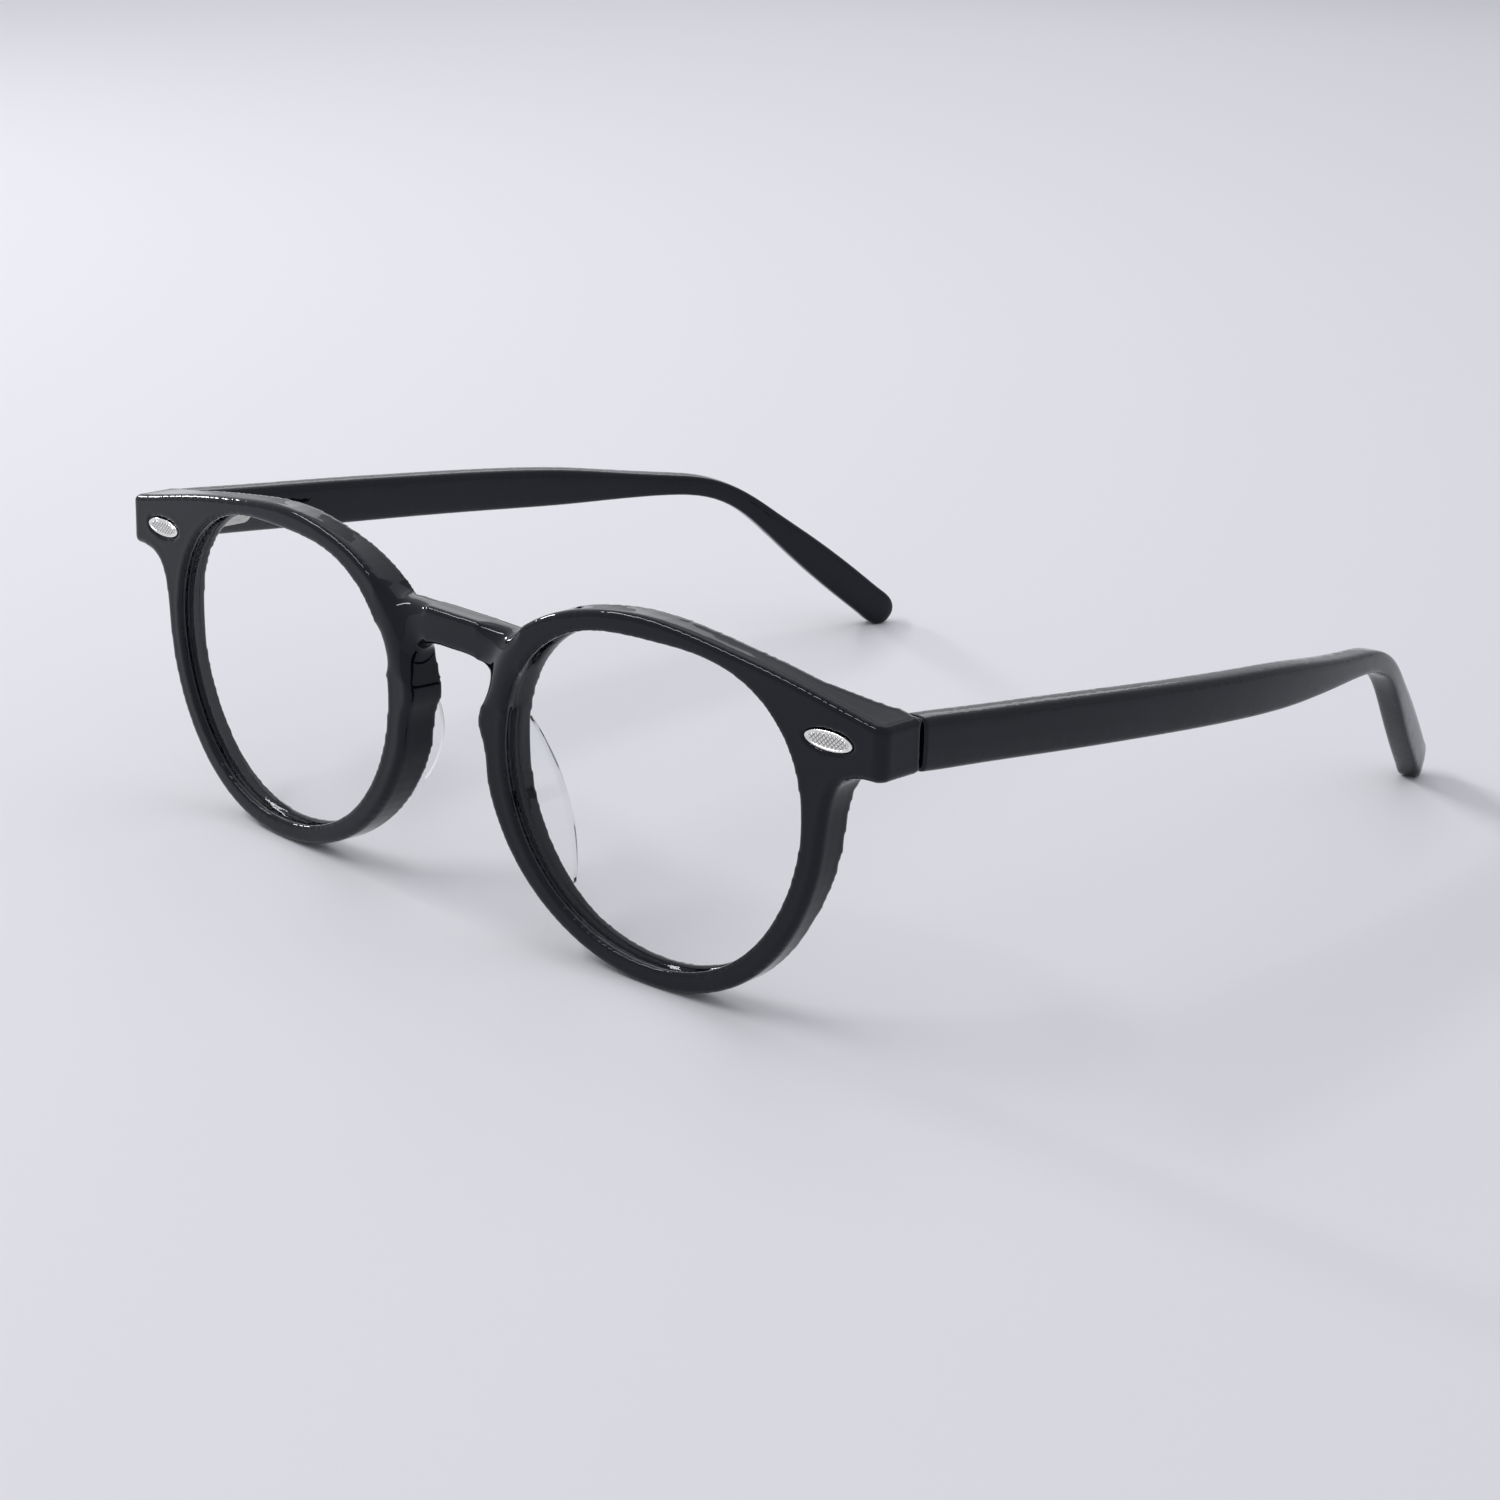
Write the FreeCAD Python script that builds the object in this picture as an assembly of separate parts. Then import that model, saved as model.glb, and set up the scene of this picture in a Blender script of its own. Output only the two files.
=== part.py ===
import FreeCAD, Part
import math
import os
from FreeCAD import Vector

# Eyeglasses: acetate front with keyhole bridge, two folding temples.
# Millimetres. +Z up, the front looks towards -Y, the temples run towards +Y.
# The wearer's left side is +X; every right-hand piece is its mirror image.

# ---- front frame ----
front_half_width = 69.2
face_slope = 0.0647
face_lead = -0.73
rim_depth = 4.0
rim_width = 2.83
nose_thickening = 1.1
bridge_top = 38.9
bridge_height = 4.6
bridge_recess = 1.1
bridge_depth = 3.9
bridge_reach = 10.4
keyhole_half_width = 7.3
edge_radius = 0.8
bridge_edge_radius = 0.6
opening_edge_radius = 0.35
end_overrun = 3.0
end_wedge = 8.5
end_wedge_setback = 0.5
nose_depth = 5.4
nose_taper_end = 24.0
hinge_notch_gap = 0.15
front_corner_radius = 1.4

# ---- lens opening ----
eye_radius = 22.13
eye_oval = 1.57
eye_pear = 0.75
eye_centre_x = 34.48
groove_depth = 0.9
groove_width = 2.2
groove_setback = 1.9
lens_gap = 0.06
lens_thickness = 1.6
lens_curve_radius = 350.0

# ---- end-piece and temple ----
end_top = 40.35
end_height = 6.6
end_back = 10.4
end_block_width = 3.6
joint_gap = 0.5
temple_thickness = 3.8
temple_tip_thickness = 3.55
temple_length = 144.1
temple_slope = 5.9
temple_root_height = 6.5
temple_mid_height = 6.07
temple_neck_height = 3.1
temple_paddle_height = 5.45
temple_bow_out = 2.4
temple_lean_in = 15.95
bend_start = 90.6
bend_end = 116.6
lean_start = 17.7
lean_end = 131.7
side_squareness = 5.0
temple_stand = 0.15
temple_root_drop = 0.1
temple_end_radius = 0.5

# ---- hinge ----
hinge_axis_inset = 1.75
hinge_drop = 0.35
knuckle_radius = 1.35
knuckle_height = 0.8
knuckle_gap = 0.04
knuckle_count = 5
leaf_thickness = 1.0
leaf_sink = 0.4
front_leaf_length = 6.4
front_leaf_shift = 0.45
temple_leaf_length = 9.5
temple_leaf_clearance = 0.27
screw_radius = 0.5
screw_clearance = 0.05
screw_head_radius = 0.95
screw_head_depth = 0.5
slot_width = 0.25

# ---- shield, pins, pads, core wire ----
shield_length = 6.9
shield_height = 2.35
shield_thickness = 0.8
shield_rim = 0.35
shield_field_depth = 0.12
shield_stand = 0.1
shield_gap = 0.12
shield_inset = 7.7
shield_z = 37.3
pin_radius = 0.45
pin_spacing = 3.2
pin_socket = 0.3
pin_gap = 0.03
pad_depth = 5.4
pad_thickness = 1.3
pad_flare = 0.25
pad_top_angle = 172.0
pad_bottom_angle = 225.0
wire_radius = 0.6
wire_start = 11.0
wire_end_margin = 16.0
wire_gap = 0.05

Y_AXIS = Vector(0, 1, 0)
Z_AXIS = Vector(0, 0, 1)


def leaf_start():
    """Where the temple's leaf begins, just clear of the front's knuckles."""
    inward = temple_root_x - temple_thickness / 2 + leaf_sink - leaf_thickness - hinge_x
    reach = math.sqrt(max(0.0, knuckle_radius ** 2 - inward ** 2))
    return hinge_y + reach + temple_leaf_clearance


def eye_opening(angle):
    """Radius of the lens opening about the eye centre."""
    pear = eye_pear * math.sin(3 * angle) - 0.14 * math.cos(3 * angle)
    oval = eye_oval * math.cos(2 * angle) + 0.07 * math.sin(2 * angle)
    corner = 0.07 * math.sin(4 * angle) - 0.31 * math.cos(4 * angle)
    return eye_radius + oval + pear + corner


def rim_outside(angle):
    """Radius of the rim's outer edge, wider towards the nose."""
    nose = max(0.0, -math.cos(angle)) ** 4
    lean = 0.29 * math.cos(angle) + 0.21 * math.sin(angle)
    return eye_opening(angle) + rim_width + lean + nose_thickening * nose


eye_centre_z = rim_outside(1.5 * math.pi)
keyhole_top = bridge_top - bridge_height
end_bottom = end_top - end_height

temple_root_x = front_half_width + temple_stand - temple_thickness / 2
temple_root_y = end_back + joint_gap
temple_root_z = (end_top + end_bottom) / 2 - temple_root_drop

hinge_x = front_half_width - end_block_width - hinge_axis_inset
hinge_y = end_back + joint_gap / 2
hinge_height = knuckle_count * knuckle_height
shield_x = front_half_width - shield_inset
hinge_low = temple_root_z - hinge_drop - hinge_height / 2


def rim_point(angle, extra=0.0):
    """Point on the rim's outer edge in the front view."""
    radius = rim_outside(angle) + extra
    x = eye_centre_x + radius * math.cos(angle)
    return Vector(x, 0, eye_centre_z + radius * math.sin(angle))


def ease(t):
    """Smooth step from 0 to 1 with no corner at either end."""
    t = min(1.0, max(0.0, t))
    return t * t * t * (t * (6 * t - 15) + 10)


def front_face_y(x):
    """Depth of the front surface of a rim at a distance from the middle."""
    return face_lead + face_slope * abs(x)


def smooth_curve(points):
    """Smooth edge through points."""
    curve = Part.BSplineCurve()
    curve.interpolate(Points=points)
    return curve.toShape()


def closed_curve(points):
    """Closed smooth wire through points."""
    curve = Part.BSplineCurve()
    curve.interpolate(Points=points, PeriodicFlag=True)
    return Part.Wire([curve.toShape()])


def flip(shape):
    """Mirror image across the middle plane."""
    return shape.mirror(Vector(0, 0, 0), Vector(1, 0, 0))


def place_on_front(shape, x, z, setback=0.0):
    """Set a piece drawn about the origin back, and turn it to the rim's plane."""
    shape.translate(Vector(0, setback, 0))
    shape.rotate(Vector(0, 0, 0), Z_AXIS, math.degrees(math.atan(face_slope)))
    shape.translate(Vector(x, front_face_y(x), z))
    return shape


def rim_outline():
    """Outline of the left rim and end-piece in the front view."""
    far = front_half_width + end_overrun
    cusp_z = keyhole_top - 7.4
    points = [
        Vector(far, 0, end_top - 0.4),
        Vector(front_half_width, 0, end_top),
        Vector(63.0, 0, end_top + 1.2),
        Vector(55.6, 0, end_top + 2.75),
        Vector(45.3, 0, bridge_top + 5.85),
        Vector(eye_centre_x - 1.5, 0, bridge_top + 6.95),
        Vector(23.8, 0, bridge_top + 5.85),
        Vector(17.0, 0, bridge_top + 3.6),
        Vector(13.9, 0, bridge_top + 1.85),
        Vector(11.0, 0, bridge_top - 0.5),
        Vector(8.9, 0, keyhole_top + 1.0),
        Vector(keyhole_half_width, 0, keyhole_top - 3.4),
        Vector(keyhole_half_width - 0.55, 0, cusp_z + 2.1),
        Vector(keyhole_half_width - 0.95, 0, cusp_z - 0.3),
        Vector(keyhole_half_width - 0.15, 0, cusp_z - 2.6),
    ]
    for step in range(20, -1, -1):
        points.append(rim_point(math.radians(-3 - 8.4 * step)))
    points.append(Vector(61.35, 0, end_bottom - 6.2))
    points.append(Vector(62.0, 0, end_bottom - 3.3))
    points.append(Vector(63.2, 0, end_bottom - 1.35))
    points.append(Vector(65.4, 0, end_bottom - 0.25))
    points.append(Vector(front_half_width - 1, 0, end_bottom))
    points.append(Vector(far, 0, end_bottom))
    return Part.Wire([smooth_curve(points), Part.makeLine(points[-1], points[0])])


def back_of_front(x, depth):
    """Point in plan at a depth behind the front face, square to that face."""
    return Vector(x, front_face_y(x) + depth * math.sqrt(1 + face_slope ** 2), -5)


def rim_blank():
    """Left rim and end-piece before its opening is cut."""
    deep = end_back + 6
    block = Part.Face(rim_outline()).extrude(Vector(0, deep, 0))
    block = place_on_front(block, 0, 0)
    inner = front_half_width - end_block_width
    nose = back_of_front(keyhole_half_width, nose_depth)
    plan = [
        Vector(-5, nose.y, -5),
        nose,
        back_of_front(nose_taper_end, rim_depth),
        back_of_front(inner - end_wedge, rim_depth),
        Vector(inner, end_back - end_wedge_setback, -5),
        Vector(inner, 30, -5),
        Vector(-5, 30, -5),
    ]
    cutter = Part.Face(Part.makePolygon(plan + [plan[0]])).extrude(Vector(0, 0, 60))
    room = Part.makeBox(front_half_width, end_back + 5, 60, Vector(0, -5, -5))
    return block.cut(cutter).common(room)


def hinge_notch():
    """Cutter for the room that the hinge needs in the back of the end-piece."""
    tall = hinge_height + 2 * hinge_notch_gap
    slab = Part.makeBox(20, 12, tall)
    slab.translate(Vector(-20, rim_depth, hinge_low - hinge_notch_gap))
    slab = place_on_front(slab, front_half_width - end_block_width, 0)
    room = Part.makeBox(20, 20, 20, Vector(front_half_width - end_block_width - 20, 0, 25))
    return slab.common(room)


def round_edges(shape, test, radius):
    """Round every edge whose ends and middle all pass the test."""
    chosen = []
    for edge in shape.Edges:
        first = edge.FirstParameter
        last = edge.LastParameter
        if all(test(edge.valueAt(p)) for p in (first, (first + last) / 2, last)):
            chosen.append(edge)
    return shape.makeFillet(radius, chosen)


def is_end_corner(point):
    """Upright edge between the front face and the outer side."""
    side = abs(point.x - front_half_width) < 0.01
    return side and abs(point.y - front_face_y(point.x)) < 0.01


def is_face_edge(point):
    """Any edge in the plane of the front face."""
    return abs(point.y - front_face_y(point.x)) < 0.005


def is_side_edge(point):
    """Top and bottom edges of the outer side."""
    side = abs(point.x - front_half_width) < 0.005
    return side and not end_bottom + 0.4 < point.z < end_top - 0.4


def rim():
    """Left rim and end-piece, rounded, with its opening and groove."""
    body = rim_blank()
    body = round_edges(body, is_end_corner, front_corner_radius)
    body = round_edges(body, is_face_edge, edge_radius)
    opening = Part.Face(closed_curve(opening_outline())).extrude(Vector(0, 20, 0))
    opening.translate(Vector(0, -8, 0))
    body = body.cut(place_on_front(opening, eye_centre_x, eye_centre_z))
    body = round_edges(body, is_face_edge, opening_edge_radius)
    inward = 0.3
    half_width = groove_width / 2 * (1 + inward / groove_depth)
    groove = bevel_disc(groove_depth, half_width, -inward)
    groove = place_on_front(groove, eye_centre_x, eye_centre_z, groove_setback)
    return body.cut(groove).cut(hinge_notch())


def bridge():
    """Keyhole bridge bar, set back from the rims, its ends inside them."""
    under = [
        Vector(-bridge_reach, 0, keyhole_top - 2.6),
        Vector(-keyhole_half_width - 0.4, 0, keyhole_top - 2.2),
        Vector(-keyhole_half_width + 0.9, 0, keyhole_top - 1.1),
        Vector(-keyhole_half_width + 2.8, 0, keyhole_top - 0.25),
        Vector(0, 0, keyhole_top),
        Vector(keyhole_half_width - 2.8, 0, keyhole_top - 0.25),
        Vector(keyhole_half_width - 0.9, 0, keyhole_top - 1.1),
        Vector(keyhole_half_width + 0.4, 0, keyhole_top - 2.2),
        Vector(bridge_reach, 0, keyhole_top - 2.6),
    ]
    top = [Vector(-bridge_reach, 0, bridge_top), Vector(bridge_reach, 0, bridge_top)]
    edges = [smooth_curve(under), Part.makeLine(under[-1], top[1])]
    edges.append(Part.makeLine(top[1], top[0]))
    edges.append(Part.makeLine(top[0], under[0]))
    bar = Part.Face(Part.Wire(edges)).extrude(Vector(0, bridge_depth, 0))
    long_edges = [edge for edge in bar.Edges if edge.Length > 2 * keyhole_half_width]
    bar = bar.makeFillet(bridge_edge_radius, long_edges)
    bar.translate(Vector(0, bridge_recess, 0))
    return bar


def opening_outline(extra=0.0):
    """Lens opening, grown outwards by extra, in the front view."""
    points = []
    for step in range(48):
        angle = 2 * math.pi * step / 48
        radius = eye_opening(angle) + extra
        x = radius * math.cos(angle)
        points.append(Vector(x, 0, radius * math.sin(angle)))
    return points


def bevel_disc(extra, half_width, gap):
    """Disc with the opening's outline and a V edge round its rim."""
    wires = []
    for y, grow in ((-half_width, gap), (0, extra), (half_width, gap)):
        wire = closed_curve(opening_outline(grow))
        wire.translate(Vector(0, y, 0))
        wires.append(wire)
    return Part.makeLoft(wires, True, True)


def lens():
    """Clear lens, slightly domed, with a V bevel for the rim groove."""
    disc = bevel_disc(groove_depth - lens_gap, groove_width / 2 - lens_gap, -lens_gap)
    outer = Part.makeSphere(lens_curve_radius, Vector(0, lens_curve_radius, 0))
    inner = Part.makeSphere(lens_curve_radius, Vector(0, lens_curve_radius + lens_thickness, 0))
    slab = Part.makeBox(80, 12, 80, Vector(-40, -6, -40))
    shell = slab.common(outer).cut(inner)
    sag = eye_radius ** 2 / (2 * lens_curve_radius)
    shell.translate(Vector(0, -sag - lens_thickness / 2, 0))
    return place_on_front(disc.common(shell), eye_centre_x, eye_centre_z, groove_setback)


def nose_pad(blank):
    """Clear fin behind the nose side of the rim, flared towards the eye."""
    sections = []
    count = 8
    for step in range(count + 1):
        t = step / count
        angle = math.radians(pad_top_angle + (pad_bottom_angle - pad_top_angle) * t)
        swell = math.sin(math.pi * (0.08 + 0.86 * t)) ** 0.75
        depth = pad_depth * swell
        thick = pad_thickness * (0.55 + 0.45 * swell)
        base = eye_opening(angle) + rim_width * 0.55
        corners = []
        for side, back in ((-1, 0), (-1, 1), (0, 1.12), (1, 1), (1, 0)):
            rho = base - pad_flare * depth * back + side * thick / 2
            y = rim_depth - 1.2 + (depth + 1.2) * back
            corners.append(Vector(rho * math.cos(angle), y, rho * math.sin(angle)))
        sections.append(Part.makePolygon(corners + [corners[0]]))
    fin = Part.makeLoft(sections, True, False)
    fin = place_on_front(fin, eye_centre_x, eye_centre_z)
    return fin.cut(blank)


def ellipse_prism(length, height, depth):
    """Flat oval piece in the front view, its face at depth 0."""
    major = length / 2
    minor = height / 2
    curve = Part.Ellipse(Vector(0, 0, 0), major, minor)
    edge = curve.toShape()
    edge.rotate(Vector(0, 0, 0), Vector(1, 0, 0), 90)
    return Part.Face(Part.Wire([edge])).extrude(Vector(0, depth, 0))


def shield_bed(extra, depth):
    """Cutter for the oval pocket in the end-piece."""
    oval = ellipse_prism(shield_length + 2 * extra, shield_height + 2 * extra, depth + 3)
    oval.translate(Vector(0, -3, 0))
    return place_on_front(oval, shield_x, shield_z)


def pin_rod(radius, start, end):
    """Both shield pins of one side, as rods between two depths."""
    rods = []
    for side in (-1, 1):
        base = Vector(side * pin_spacing / 2, start, 0)
        rods.append(Part.makeCylinder(radius, end - start, base, Y_AXIS))
    return place_on_front(Part.makeCompound(rods), shield_x, shield_z)


def shield():
    """Oval plaque with a raised rim round a sunk field and two pin sockets."""
    plate = ellipse_prism(shield_length, shield_height, shield_thickness)
    field = ellipse_prism(shield_length - 2 * shield_rim, shield_height - 2 * shield_rim, 2)
    field.translate(Vector(0, shield_field_depth - 2, 0))
    plate = place_on_front(plate.cut(field), shield_x, shield_z, -shield_stand)
    socket = shield_thickness - shield_stand - pin_socket
    return plate.cut(pin_rod(pin_radius + pin_gap, socket, socket + 2))


def shield_pins():
    """Two pins from the shield through the front to the hinge leaf."""
    start = shield_thickness - shield_stand - pin_socket + pin_gap
    return pin_rod(pin_radius, start, rim_depth + leaf_thickness + 0.15)


def knuckles(first):
    """Every second knuckle, starting from the given one, as levels in z."""
    levels = []
    for index in range(first, knuckle_count, 2):
        low = hinge_low + index * knuckle_height + knuckle_gap / 2
        levels.append((low, knuckle_height - knuckle_gap))
    return levels


def screw_shank(radius):
    """Straight rod on the hinge axis, as long as the hinge is high."""
    return Part.makeCylinder(radius, hinge_height, Vector(hinge_x, hinge_y, hinge_low), Z_AXIS)


def screw_head(radius, depth):
    """Flat head at the top of the hinge axis."""
    base = Vector(hinge_x, hinge_y, hinge_low + hinge_height - depth)
    return Part.makeCylinder(radius, depth, base, Z_AXIS)


def hinge_screw():
    """Hinge screw with a slotted head let into the top knuckle."""
    body = screw_shank(screw_radius).fuse(screw_head(screw_head_radius, screw_head_depth))
    slot = Part.makeBox(3, slot_width, 0.25)
    top = hinge_low + hinge_height - 0.25
    slot.translate(Vector(hinge_x - 1.5, hinge_y - slot_width / 2, top))
    return body.cut(slot)


def front_hinge():
    """Leaf on the back of the front, with the outer and middle knuckles."""
    plate_back = rim_depth + leaf_thickness
    plate = Part.makeBox(front_leaf_length, leaf_thickness, hinge_height)
    low = hinge_low - shield_z
    plate.translate(Vector(-front_leaf_length / 2 - front_leaf_shift, rim_depth, low))
    uprights = [edge for edge in plate.Edges if edge.Length < leaf_thickness + 0.01]
    plate = plate.makeFillet(0.8, uprights)
    plate = place_on_front(plate, shield_x, shield_z)
    body = plate
    seat_y = front_face_y(hinge_x) + plate_back - 0.5
    for low, tall in knuckles(0):
        barrel = Part.makeCylinder(knuckle_radius, tall, Vector(hinge_x, hinge_y, low), Z_AXIS)
        arm = Part.makeBox(1.5 * knuckle_radius, hinge_y - seat_y, tall)
        arm.translate(Vector(hinge_x - knuckle_radius, seat_y, low))
        body = body.fuse(barrel).fuse(arm)
    body = body.cut(screw_shank(screw_radius))
    body = body.cut(screw_head(screw_head_radius + 0.04, screw_head_depth + 0.02))
    return body.cut(pin_rod(pin_radius, rim_depth - 1, plate_back + 2))


def temple_hinge():
    """Leaf let into the inner side of the temple, with two knuckles."""
    inner = temple_root_x - temple_thickness / 2
    outer = inner + leaf_sink
    start = leaf_start()
    plate = Part.makeBox(leaf_thickness, temple_leaf_length, hinge_height)
    plate.translate(Vector(outer - leaf_thickness, start, hinge_low))
    rear = [edge for edge in plate.Edges
            if edge.Length < leaf_thickness + 0.01
            and edge.valueAt(edge.FirstParameter).y > start + 1]
    body = plate.makeFillet(1.6, rear)
    for low, tall in knuckles(1):
        barrel = Part.makeCylinder(knuckle_radius, tall, Vector(hinge_x, hinge_y, low), Z_AXIS)
        width = outer - hinge_x
        arm = Part.makeBox(width, start + 0.6 - hinge_y, tall)
        arm.translate(Vector(hinge_x, hinge_y, low))
        body = body.fuse(barrel).fuse(arm)
    return body.cut(screw_shank(screw_radius + screw_clearance))


def temple_height(s):
    """Height of the temple's section along its length."""
    root_to_mid = ease((s - 15) / 60)
    neck = (bend_start + bend_end) / 2
    mid_to_neck = ease((s - 60) / (neck - 60))
    neck_to_paddle = ease((s - neck) / 30)
    height = temple_root_height
    height += (temple_mid_height - temple_root_height) * root_to_mid
    height += (temple_neck_height - temple_mid_height) * mid_to_neck
    height += (temple_paddle_height - temple_neck_height) * neck_to_paddle
    return height


def temple_width(s):
    """Thickness of the temple's section along its length."""
    return temple_thickness + (temple_tip_thickness - temple_thickness) * ease((s - 60) / 60)


def temple_path(drop):
    """Centre points and directions along the temple for one drop angle."""
    steps = 144
    length = temple_length / steps
    point = Vector(temple_root_x, temple_root_y, temple_root_z)
    path = []
    for step in range(steps + 1):
        s = step * length
        bend = ease((s - bend_start) / (bend_end - bend_start))
        down = math.radians(temple_slope + (drop - temple_slope) * bend)
        lean = ease((s - lean_start) / (lean_end - lean_start))
        side = math.radians((temple_lean_in + temple_bow_out) * lean - temple_bow_out)
        course = Vector(-math.sin(side), math.cos(side) * math.cos(down), -math.sin(down))
        course.normalize()
        path.append((s, point, course))
        point = point + course * length
    return path


def tip_scale(s):
    """Share of the full section left as the tip rounds off."""
    reach = temple_paddle_height * 0.6
    t = min(1.0, max(0.0, (s - temple_length + reach) / reach))
    return math.sqrt(max(0.0, 1 - (0.985 * t) ** 2.2))


def lowest_point(drop):
    """Height of the underside at the tip for one drop angle."""
    low = 1000.0
    for s, point, course in temple_path(drop):
        half = temple_height(s) * tip_scale(s) / 2
        low = min(low, point.z - half * math.sqrt(1 - course.z ** 2))
    return low


def resting_drop():
    """Drop angle at which the tip just touches the surface below."""
    shallow = 15.0
    steep = 75.0
    for _ in range(30):
        middle = (shallow + steep) / 2
        if lowest_point(middle) > 0:
            shallow = middle
        else:
            steep = middle
    return shallow


def section(point, course, width, height):
    """Rounded, slightly pillowed section across the temple."""
    out = course.cross(Z_AXIS)
    out.normalize()
    up = out.cross(course)
    power = 2 / side_squareness
    points = []
    for step in range(24):
        angle = 2 * math.pi * (step + 0.5) / 24
        c = math.cos(angle)
        n = math.sin(angle)
        a = math.copysign(abs(c) ** power, c) * width / 2
        b = math.copysign(abs(n) ** power, n) * height / 2
        points.append(point + out * a + up * b)
    return closed_curve(points)


def temple_blank(path):
    """Solid temple before its hinge pocket and wire bore."""
    wires = []
    stops = [0, 8, 24, 42, 60, 74, 86, 94, 101, 108, 115, 122, 130, 136, 139.5, 141.5]
    stops += [142.8, 143.6, 144]
    for stop in stops:
        s, point, course = temple_point(path, stop / 144 * temple_length)
        if stop == 0:
            course = Y_AXIS
        scale = tip_scale(s)
        width = temple_width(s) * (0.35 + 0.65 * scale)
        wires.append(section(point, course, width, temple_height(s) * scale))
    body = Part.makeLoft(wires, True, False)
    root = [edge for edge in body.Edges
            if abs(edge.CenterOfMass.y - temple_root_y) < 0.01]
    return body.makeFillet(temple_end_radius, root)


def temple_point(path, s):
    """Point and direction at one length along the path."""
    step = temple_length / (len(path) - 1)
    index = min(len(path) - 2, int(s / step))
    share = s / step - index
    point = path[index][1] + (path[index + 1][1] - path[index][1]) * share
    course = path[index][2] + (path[index + 1][2] - path[index][2]) * share
    course.normalize()
    return s, point, course


def wire_sweep(path, radius, start, end):
    """Round wire along the middle of the temple."""
    count = 10
    points = [temple_point(path, start + (end - start) * i / count)[1] for i in range(count + 1)]
    spine = Part.Wire([smooth_curve(points)])
    first = temple_point(path, start)
    ring = Part.Wire([Part.Circle(first[1], first[2], radius).toShape()])
    return spine.makePipeShell([ring], True, False)


def temple(path):
    """Acetate temple with the hinge pocket and the core wire's bore."""
    body = temple_blank(path)
    inner = temple_root_x - temple_thickness / 2
    start = leaf_start()
    pocket = Part.makeBox(2 + leaf_sink, temple_leaf_length, hinge_height)
    pocket.translate(Vector(inner - 2, start, hinge_low))
    rear = [edge for edge in pocket.Edges
            if abs(edge.Length - 2 - leaf_sink) < 0.01
            and edge.valueAt(edge.FirstParameter).y > start + 1]
    mouth = Part.makeBox(2 + leaf_sink, 3, hinge_height)
    mouth.translate(Vector(inner - 2, start - 2.9, hinge_low))
    bed = pocket.makeFillet(1.6, rear).fuse(mouth)
    end = temple_length - wire_end_margin
    bore = wire_sweep(path, wire_radius + wire_gap, wire_start, end)
    return body.cut(bed).cut(bore)


def front_frame(blank):
    """Both rims, bridge and end-pieces in one, with shield beds and pin holes."""
    left = blank.cut(shield_bed(shield_gap, shield_thickness - shield_stand))
    left = left.cut(pin_rod(pin_radius + pin_gap, 0, rim_depth + 1))
    return left.fuse(flip(left)).fuse(bridge()).removeSplitter()


def save(name, shape):
    """Write one node as a STEP file."""
    shape.exportStep("parts/" + name + ".step")


def save_pair(name, shape):
    """Write a left piece and its mirror image."""
    save("left_" + name, shape)
    save("right_" + name, flip(shape))


def main():
    os.makedirs("parts", exist_ok=True)
    path = temple_path(resting_drop())
    blank = rim()
    singles = {"front_frame": front_frame(blank)}
    pairs = {
        "lens": lens(),
        "nose_pad": nose_pad(blank),
        "shield": shield(),
        "shield_pins": shield_pins(),
        "front_hinge": front_hinge(),
        "hinge_screw": hinge_screw(),
        "temple": temple(path),
        "temple_hinge": temple_hinge(),
        "core_wire": wire_sweep(path, wire_radius, wire_start + 0.5,
                                temple_length - wire_end_margin - 0.5),
    }
    front_end = singles["front_frame"].optimalBoundingBox().YMin
    rear_end = pairs["temple"].optimalBoundingBox().YMax
    middle = -(front_end + rear_end) / 2
    for shape in list(singles.values()) + list(pairs.values()):
        shape.translate(Vector(0, middle, 0))
    for name, shape in singles.items():
        save(name, shape)
    for name, shape in pairs.items():
        save_pair(name, shape)


main()
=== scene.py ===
import math

import bmesh
import bpy
import numpy as np
from mathutils import Matrix, Vector


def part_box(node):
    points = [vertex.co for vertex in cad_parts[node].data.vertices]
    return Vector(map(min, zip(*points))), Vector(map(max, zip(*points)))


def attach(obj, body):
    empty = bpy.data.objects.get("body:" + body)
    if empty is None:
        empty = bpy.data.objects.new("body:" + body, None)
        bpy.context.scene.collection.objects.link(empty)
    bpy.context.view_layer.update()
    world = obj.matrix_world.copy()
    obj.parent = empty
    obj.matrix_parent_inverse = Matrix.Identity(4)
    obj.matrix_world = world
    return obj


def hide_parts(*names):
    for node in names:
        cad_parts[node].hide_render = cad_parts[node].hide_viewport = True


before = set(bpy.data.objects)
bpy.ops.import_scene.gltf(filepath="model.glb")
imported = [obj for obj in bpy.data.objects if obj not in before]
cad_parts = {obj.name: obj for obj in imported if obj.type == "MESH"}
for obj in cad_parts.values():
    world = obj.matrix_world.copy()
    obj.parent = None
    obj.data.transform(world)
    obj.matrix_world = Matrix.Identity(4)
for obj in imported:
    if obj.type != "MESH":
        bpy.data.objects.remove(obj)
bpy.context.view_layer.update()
MM = 0.001
front_low, front_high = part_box("front_frame")
face_y = front_low[1]


# ---------------------------------------------------------------- materials

def new_material(name):
    """An empty node material, with its node tree and its output node."""
    material = bpy.data.materials.new(name)
    material.use_nodes = True
    tree = material.node_tree
    tree.nodes.clear()
    output = tree.nodes.new("ShaderNodeOutputMaterial")
    return material, tree, output


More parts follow.
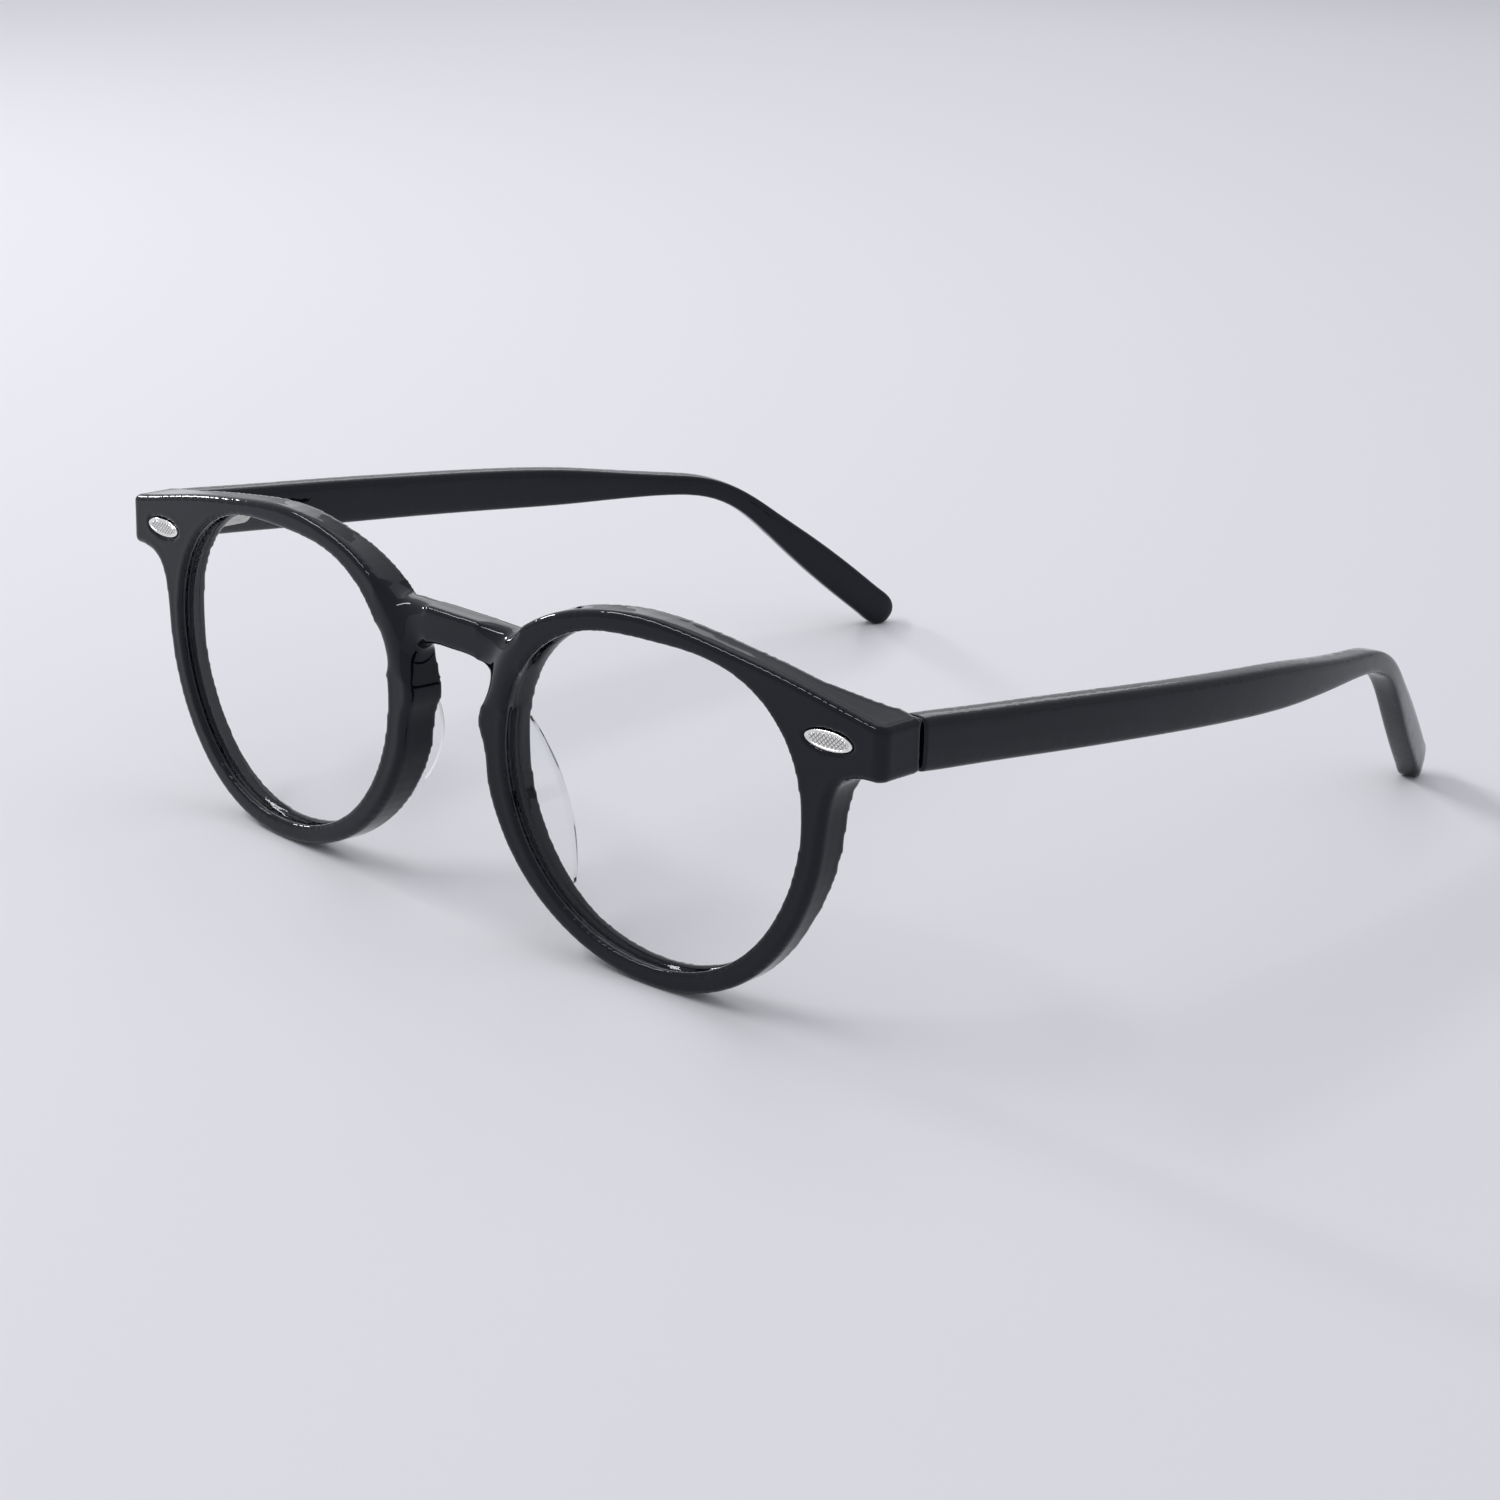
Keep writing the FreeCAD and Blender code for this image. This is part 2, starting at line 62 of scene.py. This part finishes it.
def object_pattern(tree, kind, scale, stretch=(1.0, 1.0, 1.0), **values):
    """A texture node fed by Object coordinates, stretched by a Mapping node."""
    coords = tree.nodes.new("ShaderNodeTexCoord")
    mapping = tree.nodes.new("ShaderNodeMapping")
    mapping.inputs["Scale"].default_value = stretch
    texture = tree.nodes.new(kind)
    texture.inputs["Scale"].default_value = scale
    for key, value in values.items():
        texture.inputs[key].default_value = value
    tree.links.new(coords.outputs["Object"], mapping.inputs["Vector"])
    tree.links.new(mapping.outputs["Vector"], texture.inputs["Vector"])
    return texture


def ramp(tree, source, stops):
    """A colour ramp from a texture's value, as grey levels or colours."""
    node = tree.nodes.new("ShaderNodeValToRGB")
    node.color_ramp.elements[0].position = stops[0][0]
    node.color_ramp.elements[-1].position = stops[-1][0]
    for place, _ in stops[1:-1]:
        node.color_ramp.elements.new(place)
    for element, (_, shade) in zip(node.color_ramp.elements, stops):
        if isinstance(shade, float):
            shade = (shade, shade, shade)
        element.color = (*shade, 1.0)
    tree.links.new(source, node.inputs["Fac"])
    return node.outputs["Color"]


def bumped(tree, height, strength, distance, before=None):
    """A Bump node over a height, after any earlier bump."""
    node = tree.nodes.new("ShaderNodeBump")
    node.inputs["Strength"].default_value = strength
    node.inputs["Distance"].default_value = distance
    tree.links.new(height, node.inputs["Height"])
    if before is not None:
        tree.links.new(before, node.inputs["Normal"])
    return node.outputs["Normal"]


def polished_acetate():
    """Tumbled black acetate: deep gloss, slow hand-polished waves, faint smears
    in the gloss and hairline scratches from cleaning."""
    material, tree, output = new_material("polished_black_acetate")
    shader = tree.nodes.new("ShaderNodeBsdfPrincipled")
    shader.inputs["IOR"].default_value = 1.49
    shader.inputs["Specular IOR Level"].default_value = 0.32
    shader.inputs["Specular Tint"].default_value = (0.86, 0.90, 1.0, 1.0)
    cloud = object_pattern(tree, "ShaderNodeTexNoise", 90.0, Detail=4.0)
    deep, pale = (0.0018, 0.0021, 0.0034), (0.0034, 0.0040, 0.0064)
    depth = ramp(tree, cloud.outputs["Fac"], [(0.3, deep), (0.7, pale)])
    tree.links.new(depth, shader.inputs["Base Color"])
    smear = object_pattern(tree, "ShaderNodeTexNoise", 140.0, (1.0, 0.45, 1.0),
                           Detail=5.0, Roughness=0.6, Distortion=0.6)
    gloss = ramp(tree, smear.outputs["Fac"], [(0.30, 0.02), (0.55, 0.035), (0.75, 0.07)])
    tree.links.new(gloss, shader.inputs["Roughness"])
    wave = object_pattern(tree, "ShaderNodeTexNoise", 120.0, Detail=1.0)
    hair = object_pattern(tree, "ShaderNodeTexNoise", 900.0, (0.25, 0.12, 3.0), Detail=2.0)
    normal = bumped(tree, wave.outputs["Fac"], 0.15, 0.00006)
    normal = bumped(tree, hair.outputs["Fac"], 0.05, 0.00001, normal)
    tree.links.new(normal, shader.inputs["Normal"])
    tree.links.new(shader.outputs["BSDF"], output.inputs["Surface"])
    return material


def coated_lens():
    """Clear lens: light passes with a trace of tint, and a Fresnel share is
    mirrored where light meets the lens from outside, with a very slow change
    of gloss over the coating."""
    material, tree, output = new_material("coated_clear_lens")
    through = tree.nodes.new("ShaderNodeBsdfTransparent")
    through.inputs["Color"].default_value = (0.990, 0.991, 0.991, 1.0)
    mirror = tree.nodes.new("ShaderNodeBsdfPrincipled")
    mirror.inputs["Base Color"].default_value = (0.93, 0.93, 0.94, 1.0)
    mirror.inputs["Metallic"].default_value = 1.0
    film = object_pattern(tree, "ShaderNodeTexNoise", 60.0, Detail=3.0)
    gloss = ramp(tree, film.outputs["Fac"], [(0.3, 0.015), (0.7, 0.05)])
    tree.links.new(gloss, mirror.inputs["Roughness"])
    share = tree.nodes.new("ShaderNodeFresnel")
    share.inputs["IOR"].default_value = 1.22
    sides = tree.nodes.new("ShaderNodeNewGeometry")
    outer = tree.nodes.new("ShaderNodeMath")
    outer.operation = "SUBTRACT"
    outer.inputs[0].default_value = 1.0
    tree.links.new(sides.outputs["Backfacing"], outer.inputs[1])
    once = tree.nodes.new("ShaderNodeMath")
    once.operation = "MULTIPLY"
    tree.links.new(share.outputs["Fac"], once.inputs[0])
    tree.links.new(outer.outputs["Value"], once.inputs[1])
    mix = tree.nodes.new("ShaderNodeMixShader")
    tree.links.new(once.outputs["Value"], mix.inputs[0])
    tree.links.new(through.outputs["BSDF"], mix.inputs[1])
    tree.links.new(mirror.outputs["BSDF"], mix.inputs[2])
    tree.links.new(mix.outputs["Shader"], output.inputs["Surface"])
    return material


def clear_acetate():
    """Clear polished acetate of the nose pads, with slight haze and ripple."""
    material, tree, output = new_material("clear_pad_acetate")
    shader = tree.nodes.new("ShaderNodeBsdfPrincipled")
    shader.inputs["Base Color"].default_value = (0.96, 0.97, 0.97, 1.0)
    shader.inputs["IOR"].default_value = 1.49
    shader.inputs["Transmission Weight"].default_value = 1.0
    haze = object_pattern(tree, "ShaderNodeTexNoise", 300.0, Detail=3.0)
    gloss = ramp(tree, haze.outputs["Fac"], [(0.3, 0.02), (0.7, 0.07)])
    tree.links.new(gloss, shader.inputs["Roughness"])
    normal = bumped(tree, haze.outputs["Fac"], 0.2, 0.00003)
    tree.links.new(normal, shader.inputs["Normal"])
    tree.links.new(shader.outputs["BSDF"], output.inputs["Surface"])
    return material


def worked_metal(name, dark, light, smooth, rough, grain, stretch):
    """Metal with a directional grain in its colour and height, and blotches in its gloss."""
    material, tree, output = new_material(name)
    shader = tree.nodes.new("ShaderNodeBsdfPrincipled")
    shader.inputs["Metallic"].default_value = 1.0
    lines = object_pattern(tree, "ShaderNodeTexNoise", grain, stretch, Detail=4.0, Roughness=0.65)
    tone = ramp(tree, lines.outputs["Fac"], [(0.3, dark), (0.7, light)])
    tree.links.new(tone, shader.inputs["Base Color"])
    stain = object_pattern(tree, "ShaderNodeTexNoise", 500.0, Detail=3.0)
    gloss = ramp(tree, stain.outputs["Fac"], [(0.3, smooth), (0.7, rough)])
    tree.links.new(gloss, shader.inputs["Roughness"])
    normal = bumped(tree, lines.outputs["Fac"], 0.3, 0.00002)
    tree.links.new(normal, shader.inputs["Normal"])
    tree.links.new(shader.outputs["BSDF"], output.inputs["Surface"])
    return material


def plaque_silver():
    """Bright silver, with painted shade darkening the knurl's valleys, as the
    piece's own tarnish attribute says, and a fine wiped grain in the gloss."""
    material, tree, output = new_material("knurled_silver")
    shader = tree.nodes.new("ShaderNodeBsdfPrincipled")
    shader.inputs["Metallic"].default_value = 1.0
    # Painted shade: the tarnish attribute darkens the base colour in the knurl's valleys, down to near
    # black in the deepest.
    valley_shade_node = tree.nodes.new("ShaderNodeAttribute")
    valley_shade_node.attribute_name = "tarnish"
    bright, dull, dark = (0.93, 0.92, 0.90), (0.55, 0.55, 0.54), (0.12, 0.12, 0.12)
    tone = ramp(tree, valley_shade_node.outputs["Fac"], [(0.35, bright), (0.65, dull), (0.95, dark)])
    tree.links.new(tone, shader.inputs["Base Color"])
    wiped = object_pattern(tree, "ShaderNodeTexNoise", 1800.0, (1.0, 1.0, 0.3), Detail=3.0)
    gloss = ramp(tree, wiped.outputs["Fac"], [(0.3, 0.14), (0.7, 0.30)])
    tree.links.new(gloss, shader.inputs["Roughness"])
    normal = bumped(tree, wiped.outputs["Fac"], 0.15, 0.00001)
    tree.links.new(normal, shader.inputs["Normal"])
    tree.links.new(shader.outputs["BSDF"], output.inputs["Surface"])
    return material


def dress(node, material):
    """Give every slot of a CAD node one material, or a first slot if it has none."""
    slots = node.material_slots
    if slots:
        for held in slots:
            held.link = "OBJECT"
            held.material = material
    else:
        node.data.materials.append(material)


acetate = polished_acetate()
lens_glass = coated_lens()
pad_acetate = clear_acetate()
silver = plaque_silver()
nickel = worked_metal("brushed_nickel_hinge", (0.50, 0.49, 0.46), (0.72, 0.71, 0.68),
                      smooth=0.22, rough=0.40, grain=1200.0, stretch=(1.0, 0.1, 1.0))
steel = worked_metal("turned_screw_steel", (0.42, 0.42, 0.43), (0.66, 0.66, 0.67),
                     smooth=0.18, rough=0.34, grain=2000.0, stretch=(1.0, 1.0, 0.15))
wire_steel = worked_metal("drawn_core_wire", (0.40, 0.41, 0.42), (0.60, 0.61, 0.62),
                          smooth=0.25, rough=0.42, grain=1600.0, stretch=(1.0, 0.08, 1.0))

finishes = {
    "front_frame": acetate,
    "temple": acetate,
    "lens": lens_glass,
    "nose_pad": pad_acetate,
    "shield": silver,
    "shield_pins": steel,
    "front_hinge": nickel,
    "temple_hinge": nickel,
    "hinge_screw": steel,
    "core_wire": wire_steel,
}
for name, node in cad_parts.items():
    kind = name.replace("left_", "").replace("right_", "")
    dress(node, finishes[kind])


# ---------------------------------------------------------------- front and plaques

def surface_mesh(name, grid, material):
    """A closed mesh from a grid of points shaped (rings, around, 3): the last
    column joins the first, and the first and last rings shrink to one point
    each, so each end is capped by a fan."""
    rings, around = grid.shape[0], grid.shape[1]
    inner = grid[1:-1].reshape(-1, 3)
    points = np.vstack([grid[0, :1], inner, grid[-1, :1]])
    i = np.arange(rings - 3)[:, None]
    j = np.arange(around)[None, :]
    k = (j + 1) % around
    quads = np.stack([1 + i * around + j, 1 + i * around + k,
                      1 + (i + 1) * around + k, 1 + (i + 1) * around + j], -1).reshape(-1, 4)
    j = np.arange(around)
    k = (j + 1) % around
    top = np.stack([np.zeros_like(j), 1 + k, 1 + j], -1)
    base = 1 + (rings - 3) * around
    bottom = np.stack([np.full_like(j, len(points) - 1), base + j, base + k], -1)
    mesh = bpy.data.meshes.new(name)
    mesh.from_pydata(points.tolist(), [], top.tolist() + quads.tolist() + bottom.tolist())
    mesh.update()
    mesh.polygons.foreach_set("use_smooth", np.ones(len(mesh.polygons), dtype=bool))
    piece = bpy.data.objects.new(name, mesh)
    bpy.context.scene.collection.objects.link(piece)
    mesh.materials.append(material)
    return piece


grid_size = 0.30 * MM
grid_turn_x, grid_turn_y, grid_turn_z = 0.41, 0.63, 0.54
merge_distance = 0.004 * MM
relaxing_steps = 80
pull_in, push_out = 0.62, -0.64
junction_pull = 0.75
junction_middle, junction_reach = 9.2, 4.2
junction_bottom, junction_rise = 29.0, 3.0
junction_back, junction_fade = 5.0, 2.0


def beside_bridge(place):
    """How far each point belongs to the bridge's ends, 0 to 1: a tent across
    the front, times a rise above the junction's bottom, times a fade behind
    the face. Lengths inside are in millimetres."""
    side = np.abs(place[:, 0]) / MM
    depth = (place[:, 1] - face_y) / MM
    across = np.clip(1 - np.abs(side - junction_middle) / junction_reach, 0, 1)
    across = across * np.clip((place[:, 2] / MM - junction_bottom) / junction_rise, 0, 1)
    return across * np.clip((junction_back - depth) / junction_fade, 0, 1)


def neighbour_mean(place, ends, degree):
    """The mean of each point's neighbours along the mesh's edges."""
    count = len(place)
    total = np.zeros_like(place)
    for axis in range(3):
        total[:, axis] = np.bincount(ends[:, 0], place[ends[:, 1], axis], count)
        total[:, axis] += np.bincount(ends[:, 1], place[ends[:, 0], axis], count)
    return total / np.maximum(degree, 1)


def tumbled_front():
    """The front, made in one tumbled piece: the merged CAD mesh is rebuilt on
    an even grid and relaxed, so every edge is a little round. The grid is
    turned out of line with the front's own planes while it is made. A point
    moves by weight w towards the mean of its neighbours; w swings between
    pull_in and push_out, which takes out ripples and keeps the size, and
    rises to a steady junction_pull beside the bridge's ends."""
    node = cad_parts["front_frame"]
    front = node.copy()
    front.data = node.data.copy()
    front.name = "tumbled_front"
    bpy.context.scene.collection.objects.link(front)
    mesh = bmesh.new()
    mesh.from_mesh(front.data)
    bmesh.ops.remove_doubles(mesh, verts=mesh.verts, dist=merge_distance)
    mesh.to_mesh(front.data)
    mesh.free()
    tilt = Matrix.Rotation(grid_turn_z, 4, "Z") @ Matrix.Rotation(grid_turn_x, 4, "X")
    tilt = tilt @ Matrix.Rotation(grid_turn_y, 4, "Y")
    front.data.transform(tilt)
    grid = front.modifiers.new("even_grid", "REMESH")
    grid.mode = "VOXEL"
    grid.voxel_size = grid_size
    shown = bpy.context.evaluated_depsgraph_get()
    even = bpy.data.meshes.new_from_object(front.evaluated_get(shown))
    front.modifiers.clear()
    front.data = even
    even.transform(tilt.inverted())
    count = len(even.vertices)
    place = np.empty(count * 3)
    even.vertices.foreach_get("co", place)
    place = place.reshape(-1, 3)
    ends = np.empty(len(even.edges) * 2, dtype=np.int32)
    even.edges.foreach_get("vertices", ends)
    ends = ends.reshape(-1, 2)
    degree = np.bincount(ends.ravel(), minlength=count)[:, None]
    junction = np.sqrt(beside_bridge(place))
    for step in range(relaxing_steps):
        swing = pull_in if step % 2 == 0 else push_out
        weight = swing + (junction_pull - swing) * junction
        place += weight[:, None] * (neighbour_mean(place, ends, degree) - place)
    even.vertices.foreach_set("co", place.ravel())
    even.update()
    even.polygons.foreach_set("use_smooth", np.ones(len(even.polygons), dtype=bool))
    even.materials.clear()
    even.materials.append(acetate)
    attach(front, "front")
    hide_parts("front_frame")


plaque_thickness = 0.8 * MM
plaque_slope = 0.0647
plaque_rim = 0.35 * MM
field_sink = 0.13 * MM
rim_drop = 0.10 * MM
knurl_pitch = 0.60 * MM
knurl_height = 0.15 * MM
knurl_fade = 0.10
knurl_bluntness = 0.8
# Share of painted valley shade that stays where the knurl fades out towards the rim.
rim_valley_shade = 0.2
field_rings, rim_rings, points_around = 64, 11, 420


def knurled_plaque(side):
    """Oval plaque, drawn as rings about its middle, where each ring has a half
    length, a half height and a depth y below the highest line of the rim.
    Field: rings grow by s from 0 to 1 at y = sink - knurl. The knurl is the
    lower of two crossed rows of ridges, each |sin| of a diagonal coordinate,
    blunted by a power and faded out near the rim. Rim: over its width t,
    y climbs from the sink to 0 as 1 - sin, until t = 0.5, then drops as the
    square of t - 0.5. Wall: straight down to the thickness. Back: flat."""
    node = side + "_shield"
    low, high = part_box(node)
    low, high = np.array(low), np.array(high)
    middle = (low + high) / 2
    turn = math.atan(plaque_slope) * (1 if side == "left" else -1)
    height = high[2] - low[2]
    length = (high[0] - low[0] - plaque_thickness * abs(math.sin(turn))) / math.cos(turn)
    a, b = length / 2, height / 2
    field_a, field_b = a - plaque_rim, b - plaque_rim
    theta = np.linspace(0, 2 * np.pi, points_around, endpoint=False)[None, :]
    field = np.concatenate([[0.0], np.linspace(0.02, 1.0, field_rings)])
    over = np.linspace(0, 1, rim_rings + 1)[1:]
    wall = np.array([0.12, 0.3, 1.0])
    back = np.array([0.6, 0.0])
    along = np.concatenate([field_a * field, field_a + plaque_rim * over, np.full(len(wall), a), a * back])
    across = np.concatenate([field_b * field, field_b + plaque_rim * over, np.full(len(wall), b), b * back])
    x = along[:, None] * np.cos(theta)
    z = across[:, None] * np.sin(theta)
    knurled = len(field)
    rising = np.abs(np.sin(np.pi * (x[:knurled] + z[:knurled]) / knurl_pitch))
    falling = np.abs(np.sin(np.pi * (x[:knurled] - z[:knurled]) / knurl_pitch))
    fade = np.clip((1 - field) / knurl_fade, 0, 1)[:, None]
    ridge = np.minimum(rising, falling) ** knurl_bluntness
    climb = field_sink * (1 - np.sin(np.pi * np.minimum(over, 0.5)))
    drop = rim_drop * (2 * np.maximum(0, over - 0.5)) ** 2
    plain = np.concatenate([climb + drop, rim_drop + wall * (plaque_thickness - rim_drop),
                            np.full(len(back), plaque_thickness)])
    y = np.vstack([field_sink - knurl_height * ridge * fade, np.repeat(plain[:, None], points_around, 1)])
    y = y - plaque_thickness / 2
    c, s = math.cos(turn), math.sin(turn)
    grid = np.stack([middle[0] + x * c - y * s, middle[1] + x * s + y * c, middle[2] + z], -1)
    plaque = surface_mesh(side + "_knurled_shield", grid, silver)
    # Painted shade: darkness painted into the knurl's valleys, weaker where the knurl fades near the rim;
    # the rim, wall and back get none.
    valleys = (1 - ridge) * np.minimum(1.0, fade + rim_valley_shade)
    tarnish = np.vstack([valleys, np.zeros((len(plain), points_around))])
    values = np.concatenate([tarnish[0, :1], tarnish[1:-1].ravel(), tarnish[-1, :1]])
    layer = plaque.data.attributes.new("tarnish", "FLOAT", "POINT")
    layer.data.foreach_set("value", values.astype(np.float32))
    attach(plaque, "front")
    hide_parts(node)


tumbled_front()
for side in ("left", "right"):
    knurled_plaque(side)


# ---------------------------------------------------------------- floor and light

def floor():
    """Pale matt table top: a flat sheet, z = 0 everywhere."""
    half = 6.0
    corners = [(-half, -half, 0), (half, -half, 0), (half, half, 0), (-half, half, 0)]
    mesh = bpy.data.meshes.new("table_top")
    mesh.from_pydata(corners, [], [(0, 1, 2, 3)])
    piece = bpy.data.objects.new("table_top", mesh)
    bpy.context.scene.collection.objects.link(piece)
    material, tree, output = new_material("pale_table_top")
    shader = tree.nodes.new("ShaderNodeBsdfPrincipled")
    shader.inputs["Base Color"].default_value = (0.80, 0.80, 0.825, 1.0)
    shader.inputs["Roughness"].default_value = 0.65
    shader.inputs["IOR"].default_value = 1.3
    tree.links.new(shader.outputs["BSDF"], output.inputs["Surface"])
    mesh.materials.append(material)


def area_light(name, place, aim, width, height, power):
    """A soft box at a place, turned towards a point."""
    data = bpy.data.lights.new(name, "AREA")
    data.shape = "RECTANGLE"
    data.size = width
    data.size_y = height
    data.energy = power
    lamp = bpy.data.objects.new(name, data)
    lamp.location = place
    lamp.rotation_euler = (Vector(aim) - Vector(place)).to_track_quat("-Z", "Y").to_euler()
    bpy.context.scene.collection.objects.link(lamp)
    return lamp


def strip_box(name, start, end, aim, width, power):
    """A long soft box from one point to another, its face towards a third."""
    start, end, aim = Vector(start), Vector(end), Vector(aim)
    middle = (start + end) / 2
    lamp = area_light(name, middle, aim, (end - start).length, width, power)
    along = (end - start).normalized()
    back = (middle - aim).normalized()
    across = back.cross(along).normalized()
    along = across.cross(back).normalized()
    turn = Matrix((along, across, back)).transposed().to_4x4()
    lamp.matrix_world = Matrix.Translation(middle) @ turn


floor()
area_light("side_softbox", place=(-0.95, face_y + 0.02, 0.40), aim=(0.0, face_y, 0.02),
           width=0.10, height=0.10, power=1.6)
strip_box("brow_strip", start=(-0.26, face_y - 0.66, 0.80), end=(-0.80, face_y - 0.05, 0.72),
          aim=(0.0, face_y, 0.03), width=0.06, power=3.0)
area_light("overhead_softbox", place=(-0.30, 0.45, 1.00), aim=(0.0, 0.10, 0.0),
           width=0.8, height=0.8, power=1.0)
area_light("far_softbox", place=(-0.80, 0.85, 0.44), aim=(0.0, 0.0, 0.0),
           width=0.60, height=0.36, power=0.5)
world = bpy.data.worlds.new("pale_room")
world.use_nodes = True
room = world.node_tree.nodes["Background"]
room.inputs["Color"].default_value = (0.93, 0.94, 1.0, 1.0)
room.inputs["Strength"].default_value = 0.62
bpy.context.scene.world = world
bpy.context.scene.view_settings.view_transform = "Standard"


# ---------------------------------------------------------------- camera

def camera():
    """Long-lens camera ahead of the front, to the wearer's left, looking down at it."""
    data = bpy.data.cameras.new("camera")
    data.sensor_width = 36.0
    data.lens = 79.46
    data.clip_start = 0.01
    data.clip_end = 50.0
    eye = bpy.data.objects.new("camera", data)
    right = Vector((0.722091, 0.691087, 0.031343))
    up = Vector((-0.238678, 0.206349, 0.948922))
    back = Vector((0.649320, -0.692689, 0.313950))
    place = Vector((0.296663, face_y - 0.260397, 0.152565)) + 0.00021 * right + 0.00022 * up
    turn = Matrix((right, up, back)).transposed().to_4x4()
    eye.matrix_world = Matrix.Translation(place) @ turn
    bpy.context.scene.collection.objects.link(eye)
    bpy.context.scene.camera = eye


camera()
